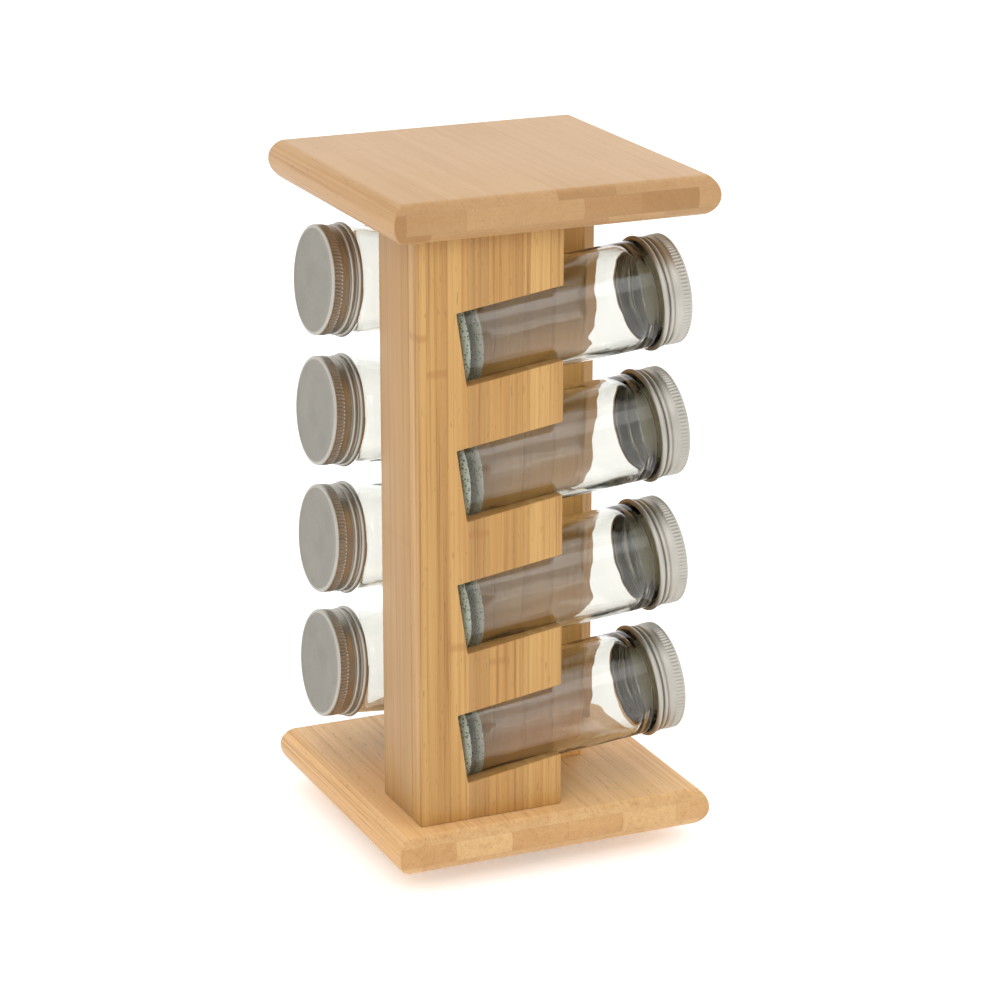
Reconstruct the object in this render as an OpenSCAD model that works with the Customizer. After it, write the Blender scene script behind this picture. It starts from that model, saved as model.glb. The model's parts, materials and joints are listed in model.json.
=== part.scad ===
// Rotating spice carousel: a bamboo column of uprights between two square boards, with four jars
// laid in tilted notches on each of two opposite sides, on a low ball-bearing turntable.
// Millimetres, +Z up. The origin is on the table under the turning axis.
// The front jars point along +X and the rear jars along -X; the rear half is the front half turned
// half a turn about Z.

/* [Boards] */
// Side of the square top and base boards
board_w = 130; // [126:1:140]
// Thickness of the top and base boards
board_t = 15; // [14:1:18]
// How far the boards' curved edges stand out from their flat faces
edge_bulge = 4.2; // [3:0.1:7]
// Height from the underside of the base board to the top of the top board
stack_h = 258; // [254:1:280]

/* [Column] */
// Overall width of the column along X
column_w = 104; // [100:1:108]
// Overall depth of the column along Y
column_d = 108.5; // [106:0.5:112]
// Width of the notched front and back panels
panel_w = 58; // [54:1:62]
// Thickness of the notched front and back panels
panel_t = 9; // [8:0.5:9.5]
// Thickness of the cheeks that back the jar bases
cheek_t = 14; // [12:0.5:14]
// Depth of the column's plain side: one panel and one cheek
side_d = 37.5; // [34:0.5:40]
// Width of the divider between the two stacks of jars
divider_w = 69; // [60:1:74]

/* [Notches] */
// Number of jars in each stack
tiers = 4; // [2:1:4]
// Vertical distance from jar to jar
tier_pitch = 52; // [50:0.5:53]
// Height of the middle of the lowest notch's closed end above the base board's underside
notch_z = 43.9; // [42:0.1:46]
// Distance of the closed end's middle from the column's middle
notch_x = 34.7; // [33:0.1:36]
// Width of a notch, square to its own slope
notch_h = 28; // [26:0.5:29]
// Slope of the notches, rising towards the lids
notch_tilt = 8.3; // [7:0.1:9]

/* [Jars] */
// Distance of the jar axes from the column's middle plane
jar_y = 33; // [31:0.1:33]
// Distance of a seated jar's base centre from the column's middle
jar_x = 33.7; // [33:0.1:35]
// Height of a seated jar's base centre above the middle of its notch's closed end
jar_z = 0.7; // [0:0.1:1.2]
// Slope of a seated jar
jar_tilt = 5; // [4:0.1:8]
// Overall length of a closed jar
jar_len = 93.3; // [90:0.1:96]
// Radius of the glass body
glass_r = 20.7; // [18:0.1:20.7]
// Wall thickness of the glass
glass_wall = 2.3; // [1.8:0.1:3]
// Thickness of the glass base
glass_base = 6; // [4:0.5:8]
// Height of the lid
lid_h = 12.3; // [11.5:0.1:13]
// Radius of the lid at its knurled band
lid_r = 21.2; // [21.1:0.1:21.6]
// Thickness of the sheet metal
lid_wall = 0.45; // [0.4:0.05:0.6]
// Thickness of the sealing disc in the lid
liner_t = 0.8; // [0.6:0.1:1]

/* [Turntable] */
// Height of the turntable, feet included
turntable_h = 8; // [8:0.5:10]
// Radius of both turntable plates
plate_r = 38; // [37:1:44]
// Thickness of the steel plates
plate_t = 1; // [0.8:0.1:1.2]
// Height of the rubber feet
foot_h = 2.2; // [2.1:0.1:2.6]
// Radius of the ball circle
race_r = 26; // [24:0.5:27]
// Radius of a bearing ball
ball_r = 1.5; // [1.2:0.1:1.5]
// Number of bearing balls
ball_count = 16; // [8:1:20]

/* [Hidden] */
stacks = ["front", "rear"];
tier_list = [for (i = [1:tiers]) i];
CORE_NODES = ["rubber_feet", "lower_plate", "ball_cage", "bearing_balls", "upper_plate",
    "centre_rivet", "turntable_screws", "base_board", "base_screws", "front_panel", "left_cheek",
    "back_panel", "right_cheek", "divider", "top_dowels", "top_board"];
$fn = 64;

// Levels above the table
base_z = turntable_h;
column_z = base_z + board_t;
top_z = base_z + stack_h - board_t;
column_h = top_z - column_z;
edge_r = (pow(board_t/2, 2) + pow(edge_bulge, 2))/2/edge_bulge;

// Plan of the column
panel_in_y = column_d/2 - panel_t;          // inner face of a panel, from the middle plane
cheek_d = side_d - panel_t;
panel_end_x = panel_w - column_w/2;         // open end of the front panel's notches

// Seated jars: each lies in a round cove behind its notch and leans on the divider
jar_gap = 0.3;
divider_t = 2*(jar_y - glass_r - jar_gap);

// Glass jar, measured along its own axis from the base
rim_gap = 0.05;
rim_z = jar_len - lid_wall - liner_t - rim_gap;
lid_z = jar_len - lid_h;
shoulder_z = lid_z - 2.4;
neck_r = glass_r - 1.8;
mouth_r = glass_r - 4.2;
thread_r = neck_r + 0.8;
heel_r = 3.2;
punt_r = 15.5;                              // hollow under the base
punt_h = 1.2;
lid_in_r = 20.1;

// Turntable levels
race_fit = 0.05;
plate_z = foot_h;                           // underside of the lower plate
upper_z = turntable_h - plate_t;            // underside of the upper plate
race_z = (plate_z + plate_t + upper_z)/2;   // height of the ball centres
race_gap = 1.2;                             // between the two race rings
race_w = 7;
cage_t = 0.6;
cage_w = 5;
rivet_r = 4;
rivet_bore = 2.5;
rivet_flange = 6;
rivet_flange_t = 0.5;
rivet_recess = 1;
foot_r = 5;
foot_circle = 30;
screw_circle = 33.5;
access_r = 4;

// Fasteners
screw_r = 1.75;
screw_len = 30;
screw_head_r = 3.6;
screw_head_t = 2.2;
pilot_fit = 0.05;
small_screw_r = 1.25;
small_screw_len = 9;
small_head_r = 2.6;
small_head_t = 1.5;
dowel_r = 2.5;
dowel_len = 18;
dowel_up = 9;                               // length of a dowel in the top board
panel_y = column_d/2 - panel_t/2;           // middle of a panel's thickness
cheek_x = column_w/2 - cheek_t/2;
cheek_y = panel_in_y - cheek_d/2;
// Fastener places under the front half and the divider; the rear half repeats them
half_places = [[-column_w/2 + 10, -panel_y], [panel_end_x - 10, -panel_y],
    [-cheek_x, -cheek_y], [28, 0]];

bamboo = "burlywood";
steel = "silver";

// ---- Helpers ----

// The front half's piece, or the same piece turned half a turn for the rear half
module side(stack) { rotate([0, 0, stack == "rear" ? 180 : 0]) children(); }

module at_places() {
    for (turn = [0, 180]) rotate([0, 0, turn]) for (p = half_places) translate([p[0], p[1], 0])
        children();
}

// Square board with a curved edge all round, mitred at the corners
module board(z) {
    translate([0, 0, z + board_t/2]) intersection() {
        rotate([90, 0, 90]) linear_extrude(board_w, center = true) edge_profile();
        rotate([90, 0, 0]) linear_extrude(board_w, center = true) edge_profile();
    }
}

module edge_profile() {
    square([board_w - 2*edge_bulge, board_t], center = true);
    intersection() {
        square([board_w + 1, board_t], center = true);
        for (s = [-1, 1]) translate([s*(board_w/2 - edge_r), 0]) circle(r = edge_r);
    }
}

// Screw pointing up, with its head's underside flush at z = 0
module countersunk_screw(fit = 0) {
    cylinder(r = screw_r + fit, h = screw_len + fit);
    cylinder(r1 = screw_head_r + fit, r2 = screw_r + fit, h = screw_head_t);
}

module small_screw_shank(fit = 0) {
    cylinder(r = small_screw_r + fit, h = plate_t + small_screw_len + fit);
}

// ---- Turntable ----

module rubber_feet() color("dimgray")
    for (a = [45:90:315]) rotate([0, 0, a]) translate([foot_circle, 0, 0])
        cylinder(r = foot_r, h = foot_h);

// Race ring with a ball groove, between two levels
module race_ring(z_low, z_high) {
    difference() {
        translate([0, 0, z_low]) cylinder(r = race_r + race_w/2, h = z_high - z_low);
        translate([0, 0, z_low - 1]) cylinder(r = race_r - race_w/2, h = z_high - z_low + 2);
    }
}

module ball_groove() {
    translate([0, 0, race_z]) rotate_extrude() translate([race_r, 0]) circle(r = ball_r + race_fit);
}

module lower_plate() color(steel) difference() {
    union() {
        translate([0, 0, plate_z]) cylinder(r = plate_r, h = plate_t);
        race_ring(plate_z + plate_t/2, race_z - race_gap/2);
    }
    ball_groove();
    cylinder(r = rivet_r + race_fit, h = turntable_h);
    translate([screw_circle, 0, 0]) cylinder(r = access_r, h = turntable_h);
}

module upper_plate() color(steel) difference() {
    union() {
        translate([0, 0, upper_z]) cylinder(r = plate_r, h = plate_t);
        race_ring(race_z + race_gap/2, upper_z + plate_t/2);
    }
    ball_groove();
    cylinder(r = rivet_r, h = turntable_h + 1);
    turntable_screw_places() small_screw_shank(pilot_fit);
}

module ball_places() {
    for (i = [0:ball_count - 1]) rotate([0, 0, 360*i/ball_count]) translate([race_r, 0, race_z])
        children();
}

module ball_cage() color("gold") difference() {
    translate([0, 0, race_z - cage_t/2]) cylinder(r = race_r + cage_w/2, h = cage_t);
    translate([0, 0, race_z - cage_t]) cylinder(r = race_r - cage_w/2, h = 2*cage_t);
    ball_places() cylinder(r = ball_r + race_fit, h = 2*cage_t, center = true);
}

module bearing_balls() color("lightgray") ball_places() sphere(r = ball_r);

// Hollow rivet that holds the two plates together and is the turning axis
module centre_rivet() color(steel) difference() {
    union() {
        translate([0, 0, plate_z - 0.3 - rivet_flange_t])
            cylinder(r = rivet_flange, h = rivet_flange_t);
        translate([0, 0, plate_z - 0.5]) cylinder(r = rivet_r, h = turntable_h - plate_z + 0.7);
        translate([0, 0, turntable_h]) cylinder(r = rivet_flange, h = rivet_flange_t);
    }
    cylinder(r = rivet_bore, h = turntable_h + 2);
}

module turntable_screw_places() {
    for (a = [45:90:315]) rotate([0, 0, a]) translate([screw_circle, 0, upper_z]) children();
}

module turntable_screws() color(steel) turntable_screw_places() {
    small_screw_shank();
    translate([0, 0, -small_head_t]) cylinder(r = small_head_r, h = small_head_t);
}

// ---- Boards and column ----

module base_board() color(bamboo) difference() {
    board(base_z);
    translate([0, 0, base_z]) at_places() countersunk_screw(pilot_fit);
    turntable_screw_places() small_screw_shank(pilot_fit);
    translate([0, 0, base_z - 1]) cylinder(r = rivet_flange + 0.5, h = 1 + rivet_recess);
}

module base_screws() color(steel) translate([0, 0, base_z]) at_places() countersunk_screw();

module top_board() color(bamboo) difference() {
    board(top_z);
    dowel_holes();
}

module top_dowels() color("tan")
    translate([0, 0, top_z + dowel_up - dowel_len]) at_places() cylinder(r = dowel_r, h = dowel_len);

module dowel_holes() {
    translate([0, 0, top_z + dowel_up - dowel_len - pilot_fit]) at_places()
        cylinder(r = dowel_r + pilot_fit, h = dowel_len + 2*pilot_fit);
}

// Takes the screw and dowel holes out of an upright
module drilled() difference() {
    children();
    translate([0, 0, base_z]) at_places() countersunk_screw(pilot_fit);
    dowel_holes();
}

// One tilted notch of the front half, open towards +X
module notch(tier) {
    translate([-notch_x, 0, base_z + notch_z + (tiers - tier)*tier_pitch])
        rotate([0, -notch_tilt, 0]) translate([0, -column_d/2 - 1, -notch_h/2])
            cube([panel_w, panel_t + 2, notch_h]);
}

// Round cove for a front jar, along its own axis, cut into the back of the panel
module cove(tier) {
    seated("front", tier) translate([0, 0, -jar_gap]) cylinder(r = glass_r + jar_gap, h = jar_len);
}

module panel(stack) color(bamboo) side(stack) drilled() difference() {
    translate([-column_w/2, -column_d/2, column_z]) cube([panel_w, panel_t, column_h]);
    for (i = tier_list) {
        notch(i);
        cove(i);
    }
}

module cheek(stack) color(bamboo) side(stack) drilled()
    translate([-column_w/2, -panel_in_y, column_z]) cube([cheek_t, cheek_d, column_h]);

module divider() color(bamboo) drilled()
    translate([-divider_w/2, -divider_t/2, column_z]) cube([divider_w, divider_t, column_h]);

// ---- Jars ----

// Puts a piece drawn upright on the jar's axis into its place in a stack
module seated(stack, tier) {
    side(stack)
        translate([-jar_x, -jar_y, base_z + notch_z + (tiers - tier)*tier_pitch + jar_z])
            rotate([0, 90 - jar_tilt, 0]) children();
}

// Points of an arc round [x, y]
function arc(x, y, r, from, to, steps = 8) =
    [for (i = [0:steps]) let (a = from + (to - from)*i/steps) [x + r*cos(a), y + r*sin(a)]];

function jar_profile() = concat(
    [[0, punt_h], [punt_r, punt_h], [punt_r + 1.5, 0]],
    arc(glass_r - heel_r, heel_r, heel_r, -90, 0),
    arc(neck_r, shoulder_z, glass_r - neck_r, 0, 90),
    arc(neck_r, shoulder_z + 5.6, thread_r - neck_r, -90, 90),
    arc(neck_r, shoulder_z + 9.4, thread_r - neck_r, -90, 90),
    arc(neck_r - 1, rim_z - 1, 1, 0, 90, 4),
    arc(mouth_r + 0.8, rim_z - 0.8, 0.8, 90, 180, 4),
    [[mouth_r, shoulder_z + 1], [glass_r - glass_wall, shoulder_z - 3]],
    arc(glass_r - glass_wall - 2, glass_base + 2, 2, 0, -90, 4),
    [[0, glass_base]]);

module jar(stack, tier) color("lightcyan", 0.4) seated(stack, tier)
    rotate_extrude() polygon(jar_profile());

// Lid outline from its top: rim, knurled band, plain band, groove, bead, groove and rolled curl
function lid_profile() = concat(
    [[0, jar_len]],
    arc(lid_r - 1, jar_len - 1, 1, 90, 0, 4),
    [[lid_r, jar_len - 3.1], [lid_r - 0.2, jar_len - 3.3], [lid_r - 0.2, jar_len - 6.7],
     [lid_r - 0.6, jar_len - 7.2]],
    arc(lid_r - 0.7, jar_len - 8.4, 0.8, 70, -70, 6),
    [[lid_r - 0.6, jar_len - 9.6]],
    arc(lid_r - 0.2, lid_z + 1, 1, 110, -90, 8),
    [[lid_in_r + 0.3, lid_z], [lid_in_r, lid_z + 0.6],
     [lid_in_r, jar_len - lid_wall], [0, jar_len - lid_wall]]);

module lid(stack, tier) color(steel) seated(stack, tier) rotate_extrude() polygon(lid_profile());

module liner(stack, tier) color("white") seated(stack, tier)
    translate([0, 0, jar_len - lid_wall - liner_t]) cylinder(r = lid_in_r - 0.1, h = liner_t);

// ---- Nodes ----

rubber_feet();
lower_plate();
ball_cage();
bearing_balls();
upper_plate();
centre_rivet();
turntable_screws();
base_board();
base_screws();
panel("front");  // front_panel
cheek("front");  // left_cheek
panel("rear");  // back_panel
cheek("rear");  // right_cheek
divider();
top_dowels();
top_board();
for (s = stacks) for (i = tier_list) {
    jar(s, i);
    liner(s, i);
    lid(s, i);
}
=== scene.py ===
import json
import math

import bmesh
import bpy
from mathutils import Matrix, Vector


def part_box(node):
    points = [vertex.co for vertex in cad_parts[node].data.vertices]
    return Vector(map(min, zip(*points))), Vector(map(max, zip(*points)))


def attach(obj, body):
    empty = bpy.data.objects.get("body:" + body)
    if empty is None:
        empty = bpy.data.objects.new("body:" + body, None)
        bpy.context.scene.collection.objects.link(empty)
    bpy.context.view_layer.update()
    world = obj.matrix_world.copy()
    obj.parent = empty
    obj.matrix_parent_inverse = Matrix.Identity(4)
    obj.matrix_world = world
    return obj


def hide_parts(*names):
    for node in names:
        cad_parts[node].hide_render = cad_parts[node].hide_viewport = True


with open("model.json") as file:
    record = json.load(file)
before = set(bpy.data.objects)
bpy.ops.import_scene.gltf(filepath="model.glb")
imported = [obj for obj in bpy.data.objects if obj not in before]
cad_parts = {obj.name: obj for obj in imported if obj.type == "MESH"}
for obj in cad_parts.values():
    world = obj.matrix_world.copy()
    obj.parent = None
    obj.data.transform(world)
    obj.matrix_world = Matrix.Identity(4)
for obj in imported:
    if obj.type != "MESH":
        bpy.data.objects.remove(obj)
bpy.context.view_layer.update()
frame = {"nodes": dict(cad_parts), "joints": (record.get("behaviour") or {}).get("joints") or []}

# Spice carousel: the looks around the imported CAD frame. Metres, +Z up.
# The boards and uprights are rebuilt with softened edges, the jars and lids with threads and a
# knurl. The turntable, screws and dowels stay as CAD solids and get better materials.

MM = 0.001
STACKS = ("front", "rear")
TIERS = (1, 2, 3, 4)
JOINTS = {j["name"]: j for j in frame["joints"]}
TOP_LO, TOP_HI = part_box("top_board")
BASE_LO, BASE_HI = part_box("base_board")


# ---------------------------------------------------------------- node helpers

def new_material(name):
    """A node material and its principled shader."""
    mat = bpy.data.materials.new(name)
    mat.use_nodes = True
    return mat, mat.node_tree, mat.node_tree.nodes["Principled BSDF"]


def add(tree, kind, **settings):
    """Adds a node and sets its properties."""
    n = tree.nodes.new(kind)
    for key, value in settings.items():
        setattr(n, key, value)
    return n


def put(tree, socket, value):
    """Links a socket to an output, or sets its value."""
    if isinstance(value, bpy.types.NodeSocket):
        tree.links.new(value, socket)
    else:
        socket.default_value = value


def maths(tree, op, a, b=0.0, c=0.0, clamp=False):
    """One step of arithmetic on sockets or numbers."""
    n = add(tree, "ShaderNodeMath", operation=op, use_clamp=clamp)
    for socket, value in zip(n.inputs, (a, b, c)):
        put(tree, socket, value)
    return n.outputs[0]


def combine(tree, x, y, z):
    """A vector from three sockets or numbers."""
    n = add(tree, "ShaderNodeCombineXYZ")
    for socket, value in zip(n.inputs, (x, y, z)):
        put(tree, socket, value)
    return n.outputs[0]


def noise(tree, vector, scale, detail=3.0, roughness=0.55, distortion=0.0):
    """A noise value, about 0.3 to 0.7."""
    n = add(tree, "ShaderNodeTexNoise")
    put(tree, n.inputs["Vector"], vector)
    put(tree, n.inputs["Scale"], scale)
    put(tree, n.inputs["Detail"], detail)
    put(tree, n.inputs["Roughness"], roughness)
    put(tree, n.inputs["Distortion"], distortion)
    return n.outputs["Fac"]


def hashed(tree, vector):
    """A random value that is constant over each whole-number cell."""
    n = add(tree, "ShaderNodeTexWhiteNoise", noise_dimensions="3D")
    put(tree, n.inputs["Vector"], vector)
    return n.outputs["Value"]


def ramp(tree, fac, stops):
    """A colour from (position, colour) stops."""
    n = add(tree, "ShaderNodeValToRGB")
    put(tree, n.inputs[0], fac)
    while len(n.color_ramp.elements) < len(stops):
        n.color_ramp.elements.new(0.5)
    for e, (at, colour) in zip(n.color_ramp.elements, stops):
        e.position = at
        e.color = (*colour, 1.0)
    return n.outputs[0]


def mix(tree, fac, a, b, blend="MIX"):
    """Colour b over colour a, by the blend named."""
    n = add(tree, "ShaderNodeMix", data_type="RGBA", blend_type=blend)
    put(tree, n.inputs["Factor"], fac)
    put(tree, n.inputs[6], a)
    put(tree, n.inputs[7], b)
    return n.outputs[2]


def remap(tree, value, a, b, c, d):
    """The range a to b stretched to c to d, and held at its ends."""
    n = add(tree, "ShaderNodeMapRange")
    for socket, v in zip(n.inputs, (value, a, b, c, d)):
        put(tree, socket, v)
    return n.outputs[0]


def bump(tree, shader, height, strength, distance):
    """Fine relief on a shader's normal."""
    n = add(tree, "ShaderNodeBump")
    put(tree, n.inputs["Height"], height)
    put(tree, n.inputs["Strength"], strength)
    put(tree, n.inputs["Distance"], distance)
    tree.links.new(n.outputs[0], shader.inputs["Normal"])


def srgb(r, g, b):
    """An sRGB colour, 0 to 255, as linear values."""
    return tuple(((v/255 + 0.055)/1.055)**2.4 if v > 10 else v/255/12.92 for v in (r, g, b))


# ---------------------------------------------------------------- materials

def bamboo(name, grain, across, strip, plies, seed, streak, tones, offset=0.0, contrast=0.3,
           seam=0.15, flecks=0.3, knots=0.0, strips=(), edge_tint=None):
    """Laminated bamboo. grain and across are axis letters: along the fibres and over the strips.
    strip is a strip's width; plies are the heights that part the layers along the third axis;
    seed picks the pattern; tones are light, middle and dark. contrast is how much the strips
    differ, and streak, seam, flecks and knots say how strongly each shows. offset shifts the
    strips; strips gives the first ones' own brightness, counted from offset. edge_tint warms and
    enlivens a board's rounded edges."""
    mat, tree, shader = new_material(name)
    coords = add(tree, "ShaderNodeTexCoord").outputs["Object"]
    split = add(tree, "ShaderNodeSeparateXYZ")
    tree.links.new(coords, split.inputs[0])
    axis = {"X": split.outputs[0], "Y": split.outputs[1], "Z": split.outputs[2]}
    third = ({"X", "Y", "Z"} - {grain, across}).pop()
    g, a, d = axis[grain], axis[across], axis[third]
    # how squarely a face cuts the fibres
    normal = add(tree, "ShaderNodeNewGeometry").outputs["Normal"]
    parts = add(tree, "ShaderNodeSeparateXYZ")
    tree.links.new(normal, parts.inputs[0])
    facing = maths(tree, "ABSOLUTE", parts.outputs["XYZ".index(grain)])
    ends = remap(tree, facing, 0.35, 0.8, 0.0, 1.0)
    # layer number, counted in whole steps past each ply line
    layer = 0.0
    for height in plies:
        layer = maths(tree, "ADD", layer, maths(tree, "GREATER_THAN", d, height))
    shifted = maths(tree, "MULTIPLY", layer, strip*0.43)
    place = maths(tree, "DIVIDE", maths(tree, "ADD", maths(tree, "ADD", a, shifted), offset), strip)
    cell = maths(tree, "FLOOR", place)
    inside = maths(tree, "FRACT", place)
    tone = hashed(tree, combine(tree, cell, layer, seed))
    # each strip's fibres start from their own place, so that no pattern crosses a glue line
    jump = maths(tree, "MULTIPLY", tone, 7.0)

    def stretched(wide, long, detail, roughness, distortion=0.0):
        return noise(tree, combine(tree, maths(tree, "MULTIPLY", a, wide),
                                   maths(tree, "MULTIPLY", d, wide),
                                   maths(tree, "ADD", maths(tree, "MULTIPLY", g, long), jump)),
                     1.0, detail, roughness, distortion)

    fine = stretched(820.0, 7.0, 5.0, 0.7)
    broad = stretched(210.0, 3.0, 3.0, 0.5, 0.2)
    blotch = stretched(26.0, 12.0, 2.0, 0.5)
    light, middle, dark = tones
    varied = ramp(tree, tone, [(0.0, dark), (0.3, middle), (0.6, light), (1.0, middle)])
    share = maths(tree, "ADD", contrast, maths(tree, "MULTIPLY", ends, 1.0 - contrast))
    colour = mix(tree, share, (*middle, 1), varied)
    for k, factor in enumerate(strips):
        here = maths(tree, "COMPARE", cell, float(k), 0.5)
        colour = mix(tree, here, colour, (factor, factor**1.25, factor**1.5, 1), "MULTIPLY")
    streaks = ramp(tree, fine, [(0.32, (0.60, 0.47, 0.34)), (0.46, (0.95, 0.93, 0.90)),
                                (0.56, (1.02, 1.02, 1.02)), (0.69, (1.10, 1.14, 1.20))])
    lively = streak
    if edge_tint:
        flat = maths(tree, "ABSOLUTE", parts.outputs[2])
        rim = remap(tree, flat, 0.75, 0.97, 1.0, 0.0)
        colour = mix(tree, rim, colour, (*edge_tint, 1), "MULTIPLY")
        lively = maths(tree, "ADD", streak, maths(tree, "MULTIPLY", rim, 0.5))
    # end grain shows the fibres as points, not as lines
    lively = maths(tree, "MULTIPLY", lively, remap(tree, ends, 0.0, 1.0, 1.0, 0.35))
    colour = mix(tree, lively, colour, streaks, "MULTIPLY")
    bands = ramp(tree, broad, [(0.28, (0.80, 0.69, 0.56)), (0.5, (1, 1, 1)),
                               (0.74, (1.10, 1.13, 1.17))])
    colour = mix(tree, 0.8*streak, colour, bands, "MULTIPLY")
    cloud = ramp(tree, blotch, [(0.3, (0.95, 0.92, 0.89)), (0.65, (1.03, 1.04, 1.05))])
    colour = mix(tree, 0.8, colour, cloud, "MULTIPLY")
    # long thin dark fibres
    fibre = remap(tree, stretched(1000.0, 3.4, 3.0, 0.6), 0.60, 0.72, 0.0, 0.6)
    fibre = maths(tree, "MULTIPLY", fibre, lively, clamp=True)
    colour = mix(tree, fibre, colour, (*srgb(142, 94, 46), 1))
    # short dark flecks, where vessels come to the surface
    dash = remap(tree, stretched(1500.0, 190.0, 1.0, 0.5), 0.68, 0.76, 0.0, flecks)
    colour = mix(tree, dash, colour, (*srgb(132, 92, 52), 1))
    # a bamboo joint now and then: a narrow darker band across one strip
    if knots:
        turn = maths(tree, "FRACT", maths(tree, "ADD", maths(tree, "DIVIDE", g, 0.21),
                                          maths(tree, "MULTIPLY", tone, 9.7)))
        off = maths(tree, "ABSOLUTE", maths(tree, "SUBTRACT", turn, 0.5))
        band = remap(tree, maths(tree, "ADD", off, maths(tree, "MULTIPLY", broad, 0.006)),
                     0.006, 0.013, knots, 0.0)
        colour = mix(tree, band, colour, (*srgb(150, 100, 52), 1))
    # thin darker glue line between strips, and fainter between plies
    edge = maths(tree, "MINIMUM", inside, maths(tree, "SUBTRACT", 1.0, inside))
    line = remap(tree, edge, 0.00008/strip, 0.00030/strip, 1.0, 0.0)
    for height in plies:
        gap = maths(tree, "ABSOLUTE", maths(tree, "SUBTRACT", d, height))
        line = maths(tree, "MAXIMUM", line, remap(tree, gap, 0.00005, 0.0002, 0.7, 0.0))
    colour = mix(tree, maths(tree, "MULTIPLY", line, seam), colour, (*srgb(112, 74, 40), 1))
    # end grain: fine dark vessel bundles on the faces that cut the fibres
    cells = add(tree, "ShaderNodeTexVoronoi", feature="F1")
    put(tree, cells.inputs["Vector"], coords)
    put(tree, cells.inputs["Scale"], 2400.0)
    dots = remap(tree, cells.outputs["Distance"], 0.15, 0.45, 1.0, 0.0)
    pores = maths(tree, "MULTIPLY", maths(tree, "MULTIPLY", dots, ends), 0.10)
    colour = mix(tree, pores, colour, (*srgb(140, 98, 58), 1))
    colour = mix(tree, ends, colour, (0.83, 0.82, 0.82, 1), "MULTIPLY")
    tree.links.new(colour, shader.inputs["Base Color"])
    rough = remap(tree, fine, 0.3, 0.7, 0.52, 0.42)
    tree.links.new(rough, shader.inputs["Roughness"])
    shader.inputs["Specular IOR Level"].default_value = 0.3
    shader.inputs["Coat Weight"].default_value = 0.08
    shader.inputs["Coat Roughness"].default_value = 0.35
    relief = maths(tree, "SUBTRACT", fine, maths(tree, "MULTIPLY", line, 0.6))
    bump(tree, shader, relief, 0.22, 0.00012)
    return mat


def glass(name):
    """Clear pressed glass, faintly green where it is thick."""
    mat, tree, shader = new_material(name)
    coords = add(tree, "ShaderNodeTexCoord").outputs["Object"]
    shader.inputs["Base Color"].default_value = (0.84, 0.838, 0.808, 1)
    shader.inputs["Roughness"].default_value = 0.0
    shader.inputs["IOR"].default_value = 1.48
    shader.inputs["Specular IOR Level"].default_value = 0.4
    shader.inputs["Transmission Weight"].default_value = 1.0
    ripple = noise(tree, coords, 120.0, 1.0, 0.4)
    bump(tree, shader, ripple, 0.3, 0.0004)
    depth = add(tree, "ShaderNodeVolumeAbsorption")
    depth.inputs["Color"].default_value = (0.66, 0.84, 0.56, 1)
    depth.inputs["Density"].default_value = 6.0
    output = next(n for n in tree.nodes if n.type == "OUTPUT_MATERIAL")
    tree.links.new(depth.outputs[0], output.inputs["Volume"])
    return mat


def stippled_glass(name, low, high):
    """Pressed glass whose small dimples scatter the light, from a dark and a pale colour."""
    mat, tree, shader = new_material(name)
    coords = add(tree, "ShaderNodeTexCoord").outputs["Object"]
    cells = add(tree, "ShaderNodeTexVoronoi", feature="F1")
    put(tree, cells.inputs["Vector"], coords)
    put(tree, cells.inputs["Scale"], 820.0)
    dimple = remap(tree, cells.outputs["Distance"], 0.1, 0.5, 0.0, 1.0)
    tree.links.new(ramp(tree, dimple, [(0.3, low), (0.7, high)]), shader.inputs["Base Color"])
    shader.inputs["Roughness"].default_value = 0.2
    shader.inputs["IOR"].default_value = 1.48
    shader.inputs["Transmission Weight"].default_value = 0.55
    bump(tree, shader, dimple, 0.5, 0.0004)
    return mat


def tinplate(name):
    """Satin tinned steel, rougher on the rolled side. Its tints are painted shade: they are darker
    than bare tinplate, standing in for the dim surroundings the metal reflects, and the flat top is
    much darker than the rolled side.
    """
    mat, tree, shader = new_material(name)
    coords = add(tree, "ShaderNodeTexCoord").outputs["Object"]
    split = add(tree, "ShaderNodeSeparateXYZ")
    tree.links.new(coords, split.inputs[0])
    x, y = split.outputs[0], split.outputs[1]
    radius = maths(tree, "SQRT", maths(tree, "ADD", maths(tree, "MULTIPLY", x, x),
                                       maths(tree, "MULTIPLY", y, y)))
    cloud = noise(tree, coords, 70.0, 4.0, 0.55)
    fine = noise(tree, coords, 2600.0, 2.0, 0.5)
    # painted shade: the flat top's dark tint stands in for the dim surroundings it reflects
    face = ramp(tree, cloud, [(0.32, (0.165, 0.152, 0.121)), (0.68, (0.215, 0.200, 0.164))])
    rim = ramp(tree, cloud, [(0.3, (0.40, 0.38, 0.335)), (0.7, (0.49, 0.465, 0.415))])
    side = remap(tree, radius, 0.0196, 0.0203, 0.0, 1.0)
    tree.links.new(mix(tree, side, face, rim), shader.inputs["Base Color"])
    shader.inputs["Metallic"].default_value = 1.0
    rough = remap(tree, maths(tree, "ADD", maths(tree, "MULTIPLY", cloud, 0.6),
                              maths(tree, "MULTIPLY", fine, 0.4)), 0.3, 0.7, 0.24, 0.34)
    rough = maths(tree, "ADD", rough, maths(tree, "MULTIPLY", side, 0.17))
    tree.links.new(rough, shader.inputs["Roughness"])
    bump(tree, shader, fine, 0.05, 0.00005)
    return mat


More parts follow.
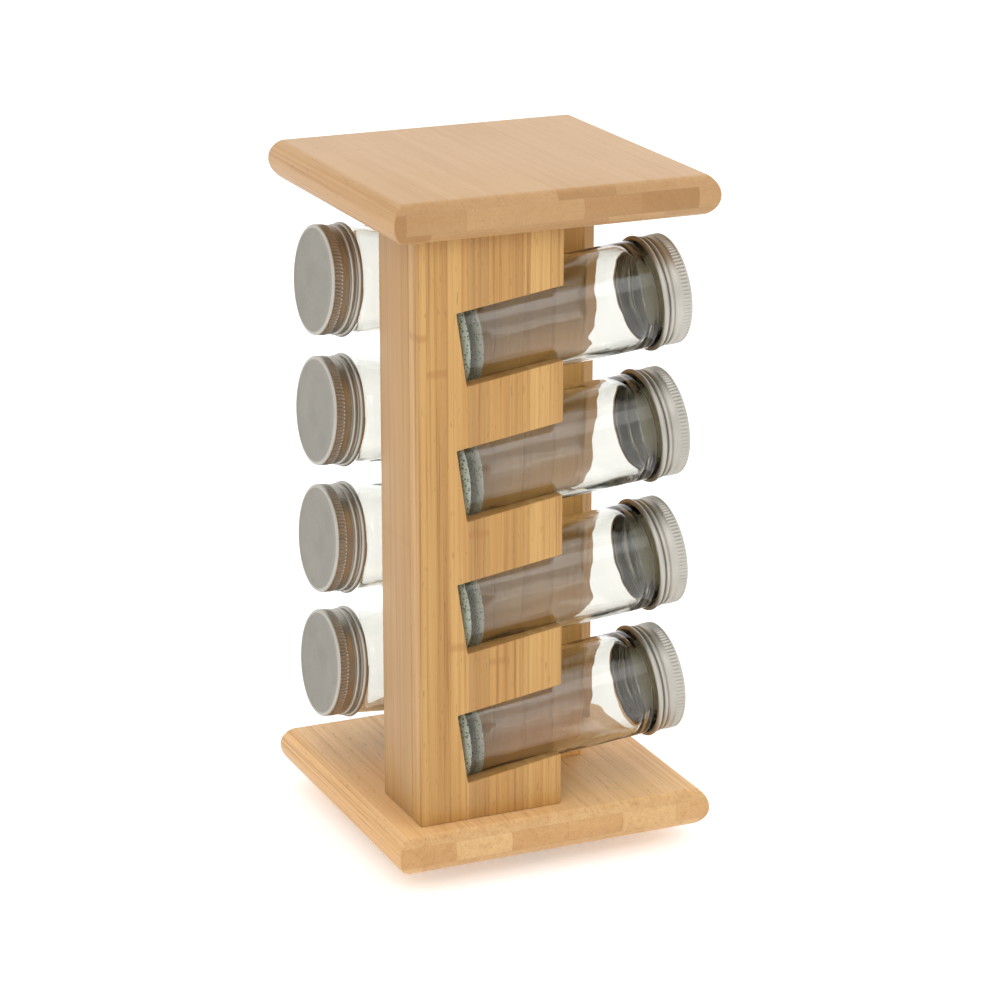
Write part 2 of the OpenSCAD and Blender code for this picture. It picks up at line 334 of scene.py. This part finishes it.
def liner_material(name):
    """The matt, faintly yellow coating of the sealing disc, in tints lighter than its own colour:
    painted light, offsetting the shade it sits in inside the lid.
    """
    mat, tree, shader = new_material(name)
    coords = add(tree, "ShaderNodeTexCoord").outputs["Object"]
    grain = noise(tree, coords, 900.0, 3.0, 0.6)
    # painted light: these tints are lighter than the coating's own, to offset the shade inside the
    # lid
    tree.links.new(ramp(tree, grain, [(0.3, (0.56, 0.55, 0.36)), (0.7, (0.70, 0.69, 0.47))]),
                   shader.inputs["Base Color"])
    shader.inputs["Roughness"].default_value = 0.45
    bump(tree, shader, grain, 0.15, 0.0001)
    return mat


def plated_steel(name, colour, roughness):
    """Plain metal with a cloudy plating."""
    mat, tree, shader = new_material(name)
    coords = add(tree, "ShaderNodeTexCoord").outputs["Object"]
    cloud = noise(tree, coords, 240.0, 4.0, 0.6)
    darker = tuple(0.82*c for c in colour)
    tree.links.new(ramp(tree, cloud, [(0.3, darker), (0.7, colour)]), shader.inputs["Base Color"])
    shader.inputs["Metallic"].default_value = 1.0
    tree.links.new(remap(tree, cloud, 0.3, 0.7, roughness*0.8, roughness*1.25),
                   shader.inputs["Roughness"])
    bump(tree, shader, cloud, 0.08, 0.0001)
    return mat


def moulded(name, colour, roughness):
    """Plastic or rubber with a fine moulded grain."""
    mat, tree, shader = new_material(name)
    coords = add(tree, "ShaderNodeTexCoord").outputs["Object"]
    grain = noise(tree, coords, 1400.0, 3.0, 0.6)
    darker = tuple(0.8*c for c in colour)
    tree.links.new(ramp(tree, grain, [(0.3, darker), (0.7, colour)]), shader.inputs["Base Color"])
    shader.inputs["Roughness"].default_value = roughness
    bump(tree, shader, grain, 0.2, 0.0001)
    return mat


TOP_TONES = (srgb(192, 157, 115), srgb(183, 146, 103), srgb(166, 126, 82))
# The base board's tones are lighter than the top board's, though it is the same bamboo. This is
# painted light: it offsets the shade the base sits in, under the top board and round the column.
BASE_LIT_TONES = (srgb(229, 190, 136), srgb(220, 177, 123), srgb(206, 159, 104))
SIDE_TONES = (srgb(179, 142, 93), srgb(172, 134, 85), srgb(162, 122, 75))
# The right cheek's tones are a lighter copy of the sides' tones. This is painted light: it stands
# in for the light that falls more on that cheek than on the left one.
RIGHT_CHEEK_LIT_TONES = (srgb(191, 155, 107), srgb(183, 146, 97), srgb(171, 132, 85))
COLUMN_TONES = (srgb(189, 149, 92), srgb(181, 140, 82), srgb(167, 123, 66))
# The divider's tones are lighter and more orange than the column's. This is painted light: it
# offsets the shade the divider stands in behind the jars. The tones are also less blue, to cancel
# the pale veil that the glass in front of it reflects.
DIVIDER_LIT_TONES = (srgb(236, 184, 112), srgb(227, 172, 98), srgb(210, 152, 80))
# The boards' outer plies, and the widths of the strips in the boards and the notched panels
PLY = 0.0036
BOARD_STRIP = 0.0232
PANEL_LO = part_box("front_panel")[0]
PANEL_STRIP = 0.0082
# The first strip is cut down to 3.3 mm at the panel's left edge; the fourth is a darker one
PANEL_OFFSET = -PANEL_LO.x + PANEL_STRIP - 0.0033
# A strip wider than a cheek, which is one board with no glue line
ONE_STRIP = 0.2
M_TOP = bamboo("bamboo_top", "Y", "X", BOARD_STRIP, (TOP_LO.z + PLY, TOP_HI.z - PLY),
               seed=4.5, streak=0.15, tones=TOP_TONES, offset=0.004, contrast=0.15, seam=0.08,
               flecks=0.5, edge_tint=(0.97, 0.92, 0.80))
M_BASE = bamboo("bamboo_base", "Y", "X", BOARD_STRIP, (BASE_LO.z + PLY, BASE_HI.z - PLY),
                seed=8.5, streak=0.5, tones=BASE_LIT_TONES, offset=0.009, contrast=0.25, seam=0.12,
                flecks=0.5, edge_tint=(0.90, 0.87, 0.80))
M_PANEL = bamboo("bamboo_panel", "Z", "X", PANEL_STRIP, (), seed=3.5, streak=0.95,
                 tones=COLUMN_TONES, offset=PANEL_OFFSET, contrast=0.5, seam=0.16, flecks=0.5,
                 knots=0.4, strips=(1.0, 0.94, 1.05, 0.82, 1.04, 0.95, 1.06, 0.98))
M_SIDE = bamboo("bamboo_side", "Z", "Y", ONE_STRIP, (), seed=5.5, streak=0.5, tones=SIDE_TONES,
                offset=ONE_STRIP/2, contrast=0.1, seam=0.1, flecks=0.3, knots=0.12)
# The right cheek is the cheeks' wood in lighter tones, painted light for the light it catches.
M_RIGHT_CHEEK_LIT = bamboo("bamboo_right_lit", "Z", "Y", ONE_STRIP, (), seed=9.5, streak=0.5,
                 tones=RIGHT_CHEEK_LIT_TONES, offset=ONE_STRIP/2, contrast=0.1, seam=0.1, flecks=0.3)
M_DIVIDER = bamboo("bamboo_divider", "Z", "X", 0.0125, (), seed=6.5, streak=0.45,
                   tones=DIVIDER_LIT_TONES, offset=0.004, contrast=0.5, seam=0.3, flecks=0.3,
                   knots=0.15)
M_DOWEL = bamboo("beech_dowel", "Z", "X", 0.02, (), seed=7.5, streak=0.3, tones=TOP_TONES)
M_GLASS = glass("clear_glass")
# The glass of the base ring's underside, and a pale milky glass on the inside of the heel whose
# pale colour is painted light, standing in for the light the thick base carries through from the
# room
M_STIPPLE = stippled_glass("stippled_glass", (0.16, 0.22, 0.15), (0.56, 0.63, 0.51))
M_HEEL_PAINTED_LIGHT = stippled_glass("heel_glass_painted_light", (0.55, 0.62, 0.50), (0.88, 0.92, 0.84))
M_LID = tinplate("lid_steel")
M_LINER = liner_material("liner_foam")
M_ZINC = plated_steel("zinc_steel", (0.60, 0.61, 0.63), 0.35)
M_BALL = plated_steel("bright_steel", (0.78, 0.78, 0.80), 0.12)
M_CAGE = moulded("cage_plastic", (0.78, 0.76, 0.70), 0.45)
M_RUBBER = moulded("rubber", (0.035, 0.035, 0.036), 0.8)


# ---------------------------------------------------------------- mesh helpers

def piece_from(bm, name, mat, smooth_angle=40):
    """A shaded object from a bmesh."""
    bmesh.ops.recalc_face_normals(bm, faces=bm.faces)
    mesh = bpy.data.meshes.new(name)
    bm.to_mesh(mesh)
    bm.free()
    mesh.materials.append(mat)
    mesh.shade_smooth()
    mesh.set_sharp_from_angle(angle=math.radians(smooth_angle))
    obj = bpy.data.objects.new(name, mesh)
    bpy.context.scene.collection.objects.link(obj)
    return obj


def lathe(profile, segments, shape):
    """A closed turned body about Z from (radius, height) points. shape(index, angle, r, z) gives
    each point's radius and height in metres. Points on the axis become single poles."""
    bm = bmesh.new()
    rings = []
    for i, (r, z) in enumerate(profile):
        if r < 1e-7:
            rings.append([bm.verts.new((0, 0, shape(i, 0.0, r, z)[1]))])
            continue
        ring = []
        for k in range(segments):
            angle = 2*math.pi*k/segments
            rr, zz = shape(i, angle, r, z)
            ring.append(bm.verts.new((rr*math.cos(angle), rr*math.sin(angle), zz)))
        rings.append(ring)
    closed = len(rings[0]) > 1
    pairs = list(zip(rings, rings[1:])) + ([(rings[-1], rings[0])] if closed else [])
    for low, high in pairs:
        for k in range(segments):
            n = (k + 1) % segments
            if len(low) == 1 and len(high) == 1:
                continue
            if len(low) == 1:
                bm.faces.new((low[0], high[n], high[k]))
            elif len(high) == 1:
                bm.faces.new((low[k], low[n], high[0]))
            else:
                bm.faces.new((low[k], low[n], high[n], high[k]))
    return bm


def arc(x, y, r, start, end, steps=6):
    """Points of an arc round (x, y), in degrees."""
    out = []
    for i in range(steps + 1):
        a = math.radians(start + (end - start)*i/steps)
        out.append((x + r*math.cos(a), y + r*math.sin(a)))
    return out


def cut(obj, cutters, smooth_angle):
    """Takes round cutters out of an object's mesh. Each is (low radius, high radius, low, high,
    matrix): a cylinder or cone along Z between two heights, then placed by the matrix."""
    bm = bmesh.new()
    for radius_low, radius_high, low, high, matrix in cutters:
        made = bmesh.ops.create_cone(bm, cap_ends=True, segments=96, radius1=radius_low,
                                     radius2=radius_high, depth=high - low)
        shift = matrix @ Matrix.Translation((0, 0, (low + high)/2))
        bmesh.ops.transform(bm, verts=made["verts"], matrix=shift)
    mesh = bpy.data.meshes.new("cutter")
    bm.to_mesh(mesh)
    bm.free()
    cutter = bpy.data.objects.new("cutter", mesh)
    bpy.context.scene.collection.objects.link(cutter)
    mod = obj.modifiers.new("holes", "BOOLEAN")
    mod.operation = "DIFFERENCE"
    mod.solver = "EXACT"
    mod.use_self = True
    mod.object = cutter
    graph = bpy.context.evaluated_depsgraph_get()
    obj.data = bpy.data.meshes.new_from_object(obj.evaluated_get(graph))
    obj.modifiers.clear()
    bpy.data.objects.remove(cutter)
    obj.data.shade_smooth()
    obj.data.set_sharp_from_angle(angle=math.radians(smooth_angle))


# ---------------------------------------------------------------- jar sizes and places

# In millimetres, as the jars are drawn: the closed jar's length, the glass's radius, the lid's
# height, radius and sheet thickness, the sealing disc's thickness and the thread's lead
JAR_LEN = 93.3
GLASS_R = 20.7
LID_H = 12.3
LID_R = 21.2
SHEET = 0.45
LINER_T = 0.8
LEAD = 4.2
SHOULDER_Z = JAR_LEN - LID_H - 2.4
NECK_R = GLASS_R - 1.8
RIM_Z = JAR_LEN - SHEET - LINER_T - 0.05
MOUTH_R = GLASS_R - 4.2
THREAD_LOW, THREAD_HIGH = SHOULDER_Z + 4.2, RIM_Z - 2.4
THREAD_DEPTH = 0.75
# Dimples round the base ring, and the lid's knurl
DIMPLES = 72
KNURL_TEETH = 90
KNURL_DEPTH = 0.38


def jar_frame(stack, tier):
    """The matrix that puts a jar drawn along +Z into its place, from its lid's hinge."""
    j = JOINTS[f"{stack}_lid_{tier}_turn"]
    axis = Vector(j["axis"]).normalized()
    side = Vector((0, 1, 0)) if stack == "front" else Vector((0, -1, 0))
    other = side.cross(axis)
    turn = Matrix((other, side, axis)).transposed()
    base = Vector(j["pos_m"]) - axis*JAR_LEN*MM
    return Matrix.Translation(base) @ turn.to_4x4()


# ---------------------------------------------------------------- boards

# How far the edges stand out, the corners' radius, and the steps round each
EDGE_BULGE = 4.2*MM
CORNER_R = 0.9*MM
EDGE_STEPS = 14
CORNER_STEPS = 5


def board(node, mat):
    """Square board with curved edges whose arrises and mitred corners are softened a little."""
    lo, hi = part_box(node)
    half = (hi.x - lo.x)/2
    rise = (hi.z - lo.z)/2
    middle = (hi.z + lo.z)/2
    radius = (rise**2 + EDGE_BULGE**2)/2/EDGE_BULGE
    reach = math.asin((rise - 0.25*MM)/radius)
    flat = half - EDGE_BULGE
    # a small flat bevel joins each face to the curve
    profile = [(flat - 0.35*MM, lo.z), (flat - 0.02*MM, lo.z + 0.07*MM)]
    for i in range(EDGE_STEPS + 1):
        phi = reach*(2*i/EDGE_STEPS - 1)
        profile.append((half - radius + radius*math.cos(phi), middle + radius*math.sin(phi)))
    profile += [(flat - 0.02*MM, hi.z - 0.07*MM), (flat - 0.35*MM, hi.z)]
    bm = bmesh.new()
    rings = []
    for size, z in profile:
        ring = []
        for quarter, (sx, sy) in enumerate(((1, 1), (-1, 1), (-1, -1), (1, -1))):
            cx, cy = sx*(size - CORNER_R), sy*(size - CORNER_R)
            for k in range(CORNER_STEPS + 1):
                a = math.pi/2*(quarter + k/CORNER_STEPS)
                ring.append(bm.verts.new((cx + CORNER_R*math.cos(a), cy + CORNER_R*math.sin(a),
                                          z)))
        rings.append(ring)
    count = len(rings[0])
    for low, high in zip(rings, rings[1:]):
        for k in range(count):
            n = (k + 1) % count
            bm.faces.new((low[k], low[n], high[n], high[k]))
    bm.faces.new(rings[0][::-1])
    bm.faces.new(rings[-1])
    return piece_from(bm, node + "_wood", mat, 50)


def base_holes(wood):
    """The countersunk screw holes, the turntable's screw holes and the rivet's recess."""
    under = BASE_LO.z
    screw_places = ((-42.0, -49.75), (-4.0, -49.75), (-45.0, -31.0), (28.0, 0.0))
    turntable_circle = 33.5*MM
    recess_r, pilot_r = 6.5*MM, 1.3*MM
    head_r, screw_r, sunk = 4.05*MM, 1.6*MM, 2.4*MM
    cutters = [(recess_r, recess_r, -1*MM, 1*MM, Matrix.Translation((0, 0, under)))]
    for turn in (0.0, math.pi):
        for x, y in screw_places:
            at = Matrix.Rotation(turn, 4, "Z") @ Matrix.Translation((x*MM, y*MM, under))
            cutters.append((head_r, screw_r, -0.2*MM, sunk, at))
    for turn in (45, 135, 225, 315):
        spin = Matrix.Rotation(math.radians(turn), 4, "Z")
        at = spin @ Matrix.Translation((turntable_circle, 0, under))
        cutters.append((pilot_r, pilot_r, -1*MM, 9*MM, at))
    cut(wood, cutters, 50)


def stand_for(wood, node):
    """A piece of the carousel's wood takes its CAD node's place."""
    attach(wood, "carousel")
    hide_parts(node)


stand_for(board("top_board", M_TOP), "top_board")
base_wood = board("base_board", M_BASE)
base_holes(base_wood)
stand_for(base_wood, "base_board")


# ---------------------------------------------------------------- uprights

def slab(name, outline, low_y, high_y, mat, soft=0.5*MM):
    """An outline in X and Z, extruded along Y, with softened edges."""
    bm = bmesh.new()
    face = bm.faces.new([bm.verts.new((x, low_y, z)) for x, z in outline])
    made = bmesh.ops.extrude_face_region(bm, geom=[face])
    moved = [v for v in made["geom"] if isinstance(v, bmesh.types.BMVert)]
    bmesh.ops.translate(bm, verts=moved, vec=(0, high_y - low_y, 0))
    bmesh.ops.bevel(bm, geom=list(bm.edges), offset=soft, segments=2, profile=0.5,
                    affect="EDGES")
    return piece_from(bm, name, mat, 30)


# The coves' room round the jars, their radius and their length
COVE_GAP = 0.3*MM
COVE_R = GLASS_R*MM + COVE_GAP
COVE_LEN = 90*MM
# The notches' slope, height and closed end, the lowest one's middle above the base board's
# underside, and their distance apart
NOTCH_TILT = math.radians(8.3)
NOTCH_H = 28.0*MM
NOTCH_X = 34.7*MM
NOTCH_Z = 43.9*MM
TIER_PITCH = 52.0*MM


def panel_outline(lo, hi):
    """Outline of the front panel with its four tilted notches, from the CAD panel's box."""
    points = [(lo.x, lo.z), (hi.x, lo.z)]
    slope = math.tan(NOTCH_TILT)
    rise = NOTCH_H/2/math.cos(NOTCH_TILT)
    for tier in reversed(TIERS):
        middle = BASE_LO.z + NOTCH_Z + (len(TIERS) - tier)*TIER_PITCH
        end_low = (-NOTCH_X + NOTCH_H/2*math.sin(NOTCH_TILT),
                   middle - NOTCH_H/2*math.cos(NOTCH_TILT))
        end_high = (-NOTCH_X - NOTCH_H/2*math.sin(NOTCH_TILT),
                    middle + NOTCH_H/2*math.cos(NOTCH_TILT))
        at_edge = middle + (hi.x + NOTCH_X)*slope
        points += [(hi.x, at_edge - rise), end_low, end_high, (hi.x, at_edge + rise)]
    points += [(hi.x, hi.z), (lo.x, hi.z)]
    return points


def uprights():
    """The two notched panels with their coves, the two cheeks and the divider."""
    lo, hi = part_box("front_panel")
    outline = panel_outline(lo, hi)
    for node, turned in (("front_panel", False), ("back_panel", True)):
        wood = slab(node + "_wood", outline, lo.y, hi.y, M_PANEL)
        coves = [(COVE_R, COVE_R, -COVE_GAP, COVE_LEN, jar_frame("front", tier))
                 for tier in TIERS]
        cut(wood, coves, 30)
        if turned:
            wood.matrix_world = Matrix.Rotation(math.pi, 4, "Z")
        stand_for(wood, node)
    for node, mat in (("left_cheek", M_SIDE), ("right_cheek", M_RIGHT_CHEEK_LIT), ("divider", M_DIVIDER)):
        lo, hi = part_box(node)
        outline = [(lo.x, lo.z), (hi.x, lo.z), (hi.x, hi.z), (lo.x, hi.z)]
        wood = slab(node + "_wood", outline, lo.y, hi.y, mat)
        stand_for(wood, node)


uprights()


# ---------------------------------------------------------------- jars

def jar_mesh():
    """A glass jar along +Z from its base: heel, side, shoulder, threaded neck and inside."""
    # outside, from the middle of the base to the rim
    outer = [(0.0, 1.2), (8.0, 1.1), (14.0, 0.9), (15.6, 0.45)]
    outer += arc(17.0, 0.35, 0.35, 200, 270, 3)
    outer += [(17.6, 0.0)]
    outer += arc(GLASS_R - 3.0, 3.0, 3.0, -88, 0, 9)
    outer += [(GLASS_R, z) for z in (7.0, 20.0, 40.0, 60.0, SHOULDER_Z - 3)]
    outer += arc(NECK_R, SHOULDER_Z, GLASS_R - NECK_R, 0, 90, 7)
    neck_from = len(outer)
    steps = 44
    outer += [(NECK_R, SHOULDER_Z + 2.2 + (RIM_Z - 1.0 - SHOULDER_Z - 2.2)*i/steps)
              for i in range(steps + 1)]
    neck_to = len(outer)
    outer += arc(NECK_R - 1, RIM_Z - 1, 1, 15, 90, 4)
    # inside, from the rim to the middle of the floor
    inner = arc(MOUTH_R + 0.8, RIM_Z - 0.8, 0.8, 90, 180, 4)
    inner += [(MOUTH_R, SHOULDER_Z + 2.5)]
    inner += [(17.0, SHOULDER_Z + 0.6), (17.9, SHOULDER_Z - 1.4)]
    inner_r = GLASS_R - 2.3
    down = SHOULDER_Z - 4.0
    inner += [(inner_r, down + (12.0 - down)*k/24) for k in range(25)]
    inner += arc(inner_r - 3.2, 9.0, 3.2, 0, -78, 7)
    inner += [(11.0, 5.3), (6.0, 5.05), (0.0, 5.0)]
    inner_from = len(outer)

    def shape(i, angle, r, z):
        """Adds the thread, the base ring's dimples and the inside's unevenness."""
        if neck_from <= i < neck_to and THREAD_LOW - 1.2 < z < THREAD_HIGH + 1.2:
            turn = angle/(2*math.pi)
            start = THREAD_LOW + LEAD*turn
            best = 9.0
            for k in range(-1, 3):
                centre = start + LEAD*k
                if THREAD_LOW <= centre <= THREAD_HIGH:
                    best = min(best, abs(z - centre))
            if best < 1.0:
                r += THREAD_DEPTH*math.cos(best*math.pi/2)**1.2
        if 0.0 <= z < 1.0 and 15.4 < r < 19.2 and i < 20:
            z += 0.16*(1 + math.cos(DIMPLES*angle))*0.5
            r += 0.08*math.cos(DIMPLES*angle)
        if i >= inner_from and 9.0 < z < SHOULDER_Z - 2:
            # the inside of pressed glass is a little uneven
            swell = min(1.0, (z - 9.0)/6.0, (SHOULDER_Z - 2 - z)/6.0)
            r += swell*(0.07*math.sin(2*angle + 0.09*z) + 0.05*math.sin(5*angle + 1.0 - 0.12*z)
                        + 0.03*math.sin(9*angle + 0.2*z) + 0.012*math.sin(17*angle - 0.1*z))
        return r*MM, z*MM

    bm = lathe(outer + inner, 4*DIMPLES, shape)
    bmesh.ops.recalc_face_normals(bm, faces=bm.faces)
    for face in bm.faces:
        middle = face.calc_center_median()
        reach = math.hypot(middle.x, middle.y)
        under = face.normal.z < -0.25 and middle.z < 2.4*MM and reach > 12*MM
        heel = face.normal.z > 0.25 and 5.15*MM < middle.z < 9*MM and reach > 10*MM
        # the inside of the heel gets the pale glass whose colour is painted light
        if under or heel:
            face.material_index = 1 if under else 2
    return bm


def lid_mesh():
    """A screw lid round its jar: flat top, knurl, plain band, groove, bead and rolled curl."""
    top = [(0.0, JAR_LEN - 0.12), (9.0, JAR_LEN - 0.11), (16.0, JAR_LEN - 0.1)]
    top += [(18.6, JAR_LEN - 0.08), (19.5, JAR_LEN - 0.02), (19.9, JAR_LEN)]
    top += arc(LID_R - 0.85, JAR_LEN - 0.85, 0.85, 80, 0, 5)
    knurl_from = len(top)
    top += [(LID_R, JAR_LEN - 0.95), (LID_R, JAR_LEN - 1.15), (LID_R, JAR_LEN - 2.2),
            (LID_R, JAR_LEN - 3.2), (LID_R, JAR_LEN - 3.9), (LID_R - 0.05, JAR_LEN - 4.15)]
    knurl_to = len(top)
    plain = LID_R - 0.22
    top += [(plain, JAR_LEN - 4.5), (plain, JAR_LEN - 5.6), (plain, JAR_LEN - 6.5),
            (plain - 0.15, JAR_LEN - 6.85), (plain - 0.6, JAR_LEN - 7.25),
            (plain - 0.55, JAR_LEN - 7.5)]
    top += arc(LID_R - 0.75, JAR_LEN - 8.45, 0.85, 65, -65, 8)
    top += [(plain - 0.6, JAR_LEN - 9.5), (plain - 0.6, JAR_LEN - 9.75)]
    top += arc(LID_R - 0.2, JAR_LEN - LID_H + 1.1, 1.1, 115, -95, 14)
    under = JAR_LEN - LID_H + 0.35
    inner = [(20.45, under), (20.35, under + 0.5), (20.3, under + 1.2)]
    inner += [(20.2, JAR_LEN - 9.7), (20.3, JAR_LEN - 9.2), (20.45, JAR_LEN - 8.4),
              (20.3, JAR_LEN - 7.7), (20.05, JAR_LEN - 7.3), (20.4, JAR_LEN - 6.8),
              (20.5, JAR_LEN - 5.0), (20.5, JAR_LEN - 3.0), (20.6, JAR_LEN - 1.4),
              (20.2, JAR_LEN - 0.75), (19.6, JAR_LEN - SHEET - 0.02)]
    inner += [(12.0, JAR_LEN - SHEET - 0.04), (0.0, JAR_LEN - SHEET - 0.05)]

    def shape(i, angle, r, z):
        if knurl_from < i < knurl_to - 1:
            r -= KNURL_DEPTH*max(0.0, math.cos(KNURL_TEETH*angle))
        return r*MM, z*MM

    return lathe(top + inner, 5*KNURL_TEETH, shape)


def liner_mesh():
    """The sealing disc, pressed in a little where it meets the jar's rim."""
    low = JAR_LEN - SHEET - LINER_T
    r = 19.8
    points = [(0.0, low), (14.0, low), (15.6, low + 0.02), (16.2, low + 0.12),
              (18.9, low + 0.12), (19.4, low)]
    points += arc(r - 0.2, low + 0.2, 0.2, -90, 0, 3)
    points += [(r, low + LINER_T - 0.24), (r - 0.1, low + LINER_T - 0.16),
               (r - 0.6, low + LINER_T - 0.07), (0.0, low + LINER_T - 0.07)]
    return lathe(points, 96, lambda i, angle, r, z: (r*MM, z*MM))


def jars():
    """Eight jars, lids and sealing discs, each kind sharing one mesh."""
    shared = {
        "jar": piece_from(jar_mesh(), "jar_master", M_GLASS, 60),
        "lid": piece_from(lid_mesh(), "lid_master", M_LID, 50),
        "liner": piece_from(liner_mesh(), "liner_master", M_LINER, 50),
    }
    shared["jar"].data.materials.append(M_STIPPLE)
    shared["jar"].data.materials.append(M_HEEL_PAINTED_LIGHT)
    for n, stack in enumerate(STACKS):
        for tier in TIERS:
            place = jar_frame(stack, tier)
            for kind, master in shared.items():
                obj = bpy.data.objects.new(f"{stack}_{kind}_{tier}_detail", master.data)
                bpy.context.scene.collection.objects.link(obj)
                turned = Matrix.Rotation(math.pi/2*(tier + 2*n), 4, "Z")
                obj.matrix_world = place @ turned
                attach(obj, f"{stack}_{kind}_{tier}_body")
                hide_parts(f"{stack}_{kind}_{tier}")
                # clear glass would otherwise darken the wood behind it too much
                obj.visible_shadow = kind != "jar"
    for master in shared.values():
        bpy.data.objects.remove(master)


jars()


# ---------------------------------------------------------------- CAD nodes that stay

KEPT = {"rubber_feet": M_RUBBER, "lower_plate": M_ZINC, "upper_plate": M_ZINC,
        "ball_cage": M_CAGE, "bearing_balls": M_BALL, "centre_rivet": M_ZINC,
        "turntable_screws": M_ZINC, "base_screws": M_ZINC, "top_dowels": M_DOWEL}
for node_name, node_mat in KEPT.items():
    node_mesh = frame["nodes"][node_name].data
    node_mesh.materials.clear()
    node_mesh.materials.append(node_mat)


# ---------------------------------------------------------------- floor, light, camera

def floor():
    """A plain pale floor."""
    bm = bmesh.new()
    bmesh.ops.create_grid(bm, x_segments=8, y_segments=8, size=6.0)
    mat, tree, shader = new_material("pale_floor")
    coords = add(tree, "ShaderNodeTexCoord").outputs["Object"]
    soft = noise(tree, coords, 3.0, 2.0, 0.5)
    tree.links.new(ramp(tree, soft, [(0.3, (0.90, 0.90, 0.90)), (0.7, (0.92, 0.92, 0.92))]),
                   shader.inputs["Base Color"])
    shader.inputs["Roughness"].default_value = 0.9
    # a pale light table, which keeps the shadow under the base faint
    shader.inputs["Emission Color"].default_value = (1, 1, 1, 1)
    shader.inputs["Emission Strength"].default_value = 0.26
    obj = piece_from(bm, "floor", mat)
    obj.location.z = -0.0002


def area(name, place, target, size, power):
    """A rectangular soft light at a place, turned to a target."""
    data = bpy.data.lights.new(name, "AREA")
    data.shape = "RECTANGLE"
    data.size, data.size_y = size
    data.energy = power
    obj = bpy.data.objects.new(name, data)
    obj.location = place
    obj.rotation_euler = (Vector(target) - Vector(place)).to_track_quat("-Z", "Y").to_euler()
    bpy.context.scene.collection.objects.link(obj)


def light():
    """A white studio with three soft lights."""
    world = bpy.data.worlds.new("studio")
    world.use_nodes = True
    back = world.node_tree.nodes["Background"]
    back.inputs[0].default_value = (1.0, 1.0, 1.0, 1)
    back.inputs[1].default_value = 1.2
    bpy.context.scene.world = world
    aim = (0, 0, 0.14)
    area("key", (-0.9, -1.3, 1.3), aim, (0.3, 0.6), 2)
    area("fill", (0.62, -1.15, 1.3), aim, (0.9, 0.7), 2.4)
    area("top", (0.1, 0.3, 1.7), aim, (1.4, 1.4), 2)


def camera():
    """From 24 degrees left of the front and 18 degrees above."""
    azimuth, pitch = math.radians(-23.85), math.radians(17.85)
    distance = 1.3147
    aside, height = 0.004, 0.1224
    target = Vector((aside*math.cos(azimuth), aside*math.sin(azimuth), BASE_LO.z + height))
    back = Vector((math.sin(azimuth)*math.cos(pitch), -math.cos(azimuth)*math.cos(pitch),
                   math.sin(pitch)))
    data = bpy.data.cameras.new("camera")
    data.sensor_width = 36
    data.lens = 122
    obj = bpy.data.objects.new("camera", data)
    obj.location = target + back*distance
    obj.rotation_euler = (-back).to_track_quat("-Z", "Y").to_euler()
    bpy.context.scene.collection.objects.link(obj)
    bpy.context.scene.camera = obj


floor()
light()
camera()
bpy.context.scene.view_settings.view_transform = "Standard"
